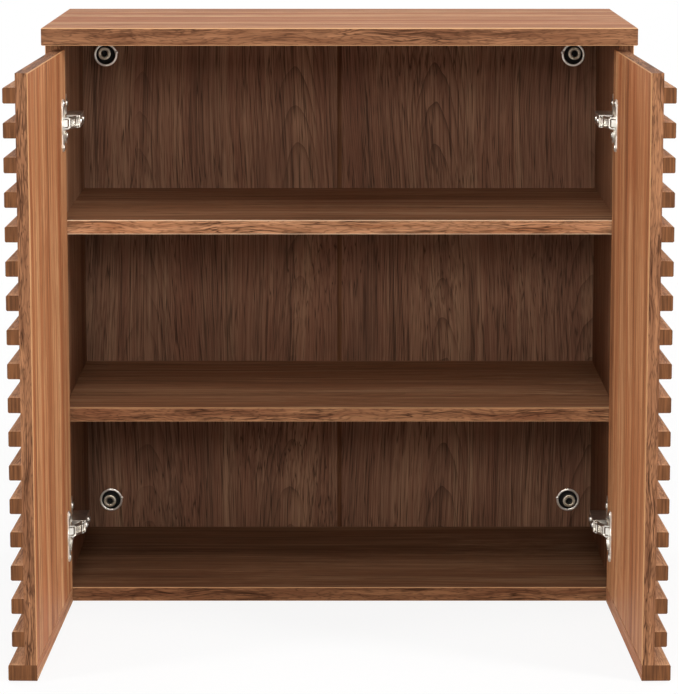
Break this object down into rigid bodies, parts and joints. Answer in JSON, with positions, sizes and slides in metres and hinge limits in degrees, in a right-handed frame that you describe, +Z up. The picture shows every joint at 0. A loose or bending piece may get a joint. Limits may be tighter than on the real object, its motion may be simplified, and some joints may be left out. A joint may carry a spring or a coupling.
{
  "type": "shoe cabinet",
  "caption": "Wall-hung wooden shoe cabinet with two slatted side-hung doors on concealed hinges, shelves across the full width and an overhanging top.",
  "frame": {"origin": "centre of the flat underside of the carcass", "axes": "+Z up, +Y towards the wall, +X to the right seen from the front"},
  "size_m": [0.64, 0.592, 0.6125],
  "materials": {
    "walnut_board": "satin",
    "walnut_side": "satin",
    "walnut_back": "satin",
    "joint_strip": "matt",
    "chrome_ring": "polished",
    "bush_metal": "satin",
    "door_panel": "satin",
    "door_slats": "satin",
    "door_rail": "satin",
    "nickel_steel": "nickel plated",
    "hinge_pin": "ground",
    "screw_steel": "zinc plated"
  },
  "bodies": {
    "carcass": {"top_board": "walnut_board", "side_panel_left": "walnut_side", "side_panel_right": "walnut_side", "bottom_board": "walnut_board", "shelf_lower": "walnut_board", "shelf_upper": "walnut_board", "back_panel_left": "walnut_back", "back_panel_right": "walnut_back", "back_joint_strip": "joint_strip", "wall_rings": "chrome_ring", "wall_bushes": "bush_metal", "hinge_plates_left": "nickel_steel", "plate_screws_left": "screw_steel", "hinge_arms_left": "nickel_steel", "arm_pins_left": "hinge_pin", "arm_screws_left": "screw_steel", "hinge_plates_right": "nickel_steel", "plate_screws_right": "screw_steel", "hinge_arms_right": "nickel_steel", "arm_pins_right": "hinge_pin", "arm_screws_right": "screw_steel"},
    "left_outer_link": {"outer_links_left": "nickel_steel"},
    "left_inner_link": {"inner_links_left": "nickel_steel"},
    "left_door": {"door_panel_left": "door_panel", "door_slats_left": "door_slats", "door_rail_left": "door_rail", "hinge_cups_left": "nickel_steel", "cup_pins_left": "hinge_pin", "cup_screws_left": "screw_steel"},
    "right_outer_link": {"outer_links_right": "nickel_steel"},
    "right_inner_link": {"inner_links_right": "nickel_steel"},
    "right_door": {"door_panel_right": "door_panel", "door_slats_right": "door_slats", "door_rail_right": "door_rail", "hinge_cups_right": "nickel_steel", "cup_pins_right": "hinge_pin", "cup_screws_right": "screw_steel"}
  },
  "joints": [
    {"name": "left_outer_link_turn", "type": "hinge", "parent": "carcass", "child": "left_outer_link", "pos_m": [-0.274, -0.136, 0], "axis": [0, 0, 1], "range_deg": [-25.18, 0.98]},
    {"name": "left_door_swing", "type": "hinge", "parent": "left_outer_link", "child": "left_door", "pos_m": [-0.28755, -0.15584, 0], "axis": [0, 0, 1], "range_deg": [-4.46, 116.66]},
    {"name": "left_inner_link_turn", "type": "hinge", "parent": "carcass", "child": "left_inner_link", "pos_m": [-0.2808, -0.1485, 0], "axis": [0, 0, 1], "range_deg": [-32.05, 1.25]},
    {"name": "right_outer_link_turn", "type": "hinge", "parent": "carcass", "child": "right_outer_link", "pos_m": [0.274, -0.136, 0], "axis": [0, 0, -1], "range_deg": [-25.18, 0.98]},
    {"name": "right_door_swing", "type": "hinge", "parent": "right_outer_link", "child": "right_door", "pos_m": [0.28755, -0.15584, 0], "axis": [0, 0, -1], "range_deg": [-4.46, 116.66]},
    {"name": "right_inner_link_turn", "type": "hinge", "parent": "carcass", "child": "right_inner_link", "pos_m": [0.2808, -0.1485, 0], "axis": [0, 0, -1], "range_deg": [-32.05, 1.25]}
  ],
  "couplings": [
    {"joint": "left_outer_link_turn", "follows": "left_door_swing", "ratio": -0.21569},
    {"joint": "left_inner_link_turn", "follows": "left_door_swing", "ratio": -0.27451},
    {"joint": "right_outer_link_turn", "follows": "right_door_swing", "ratio": -0.21569},
    {"joint": "right_inner_link_turn", "follows": "right_door_swing", "ratio": -0.27451}
  ]
}
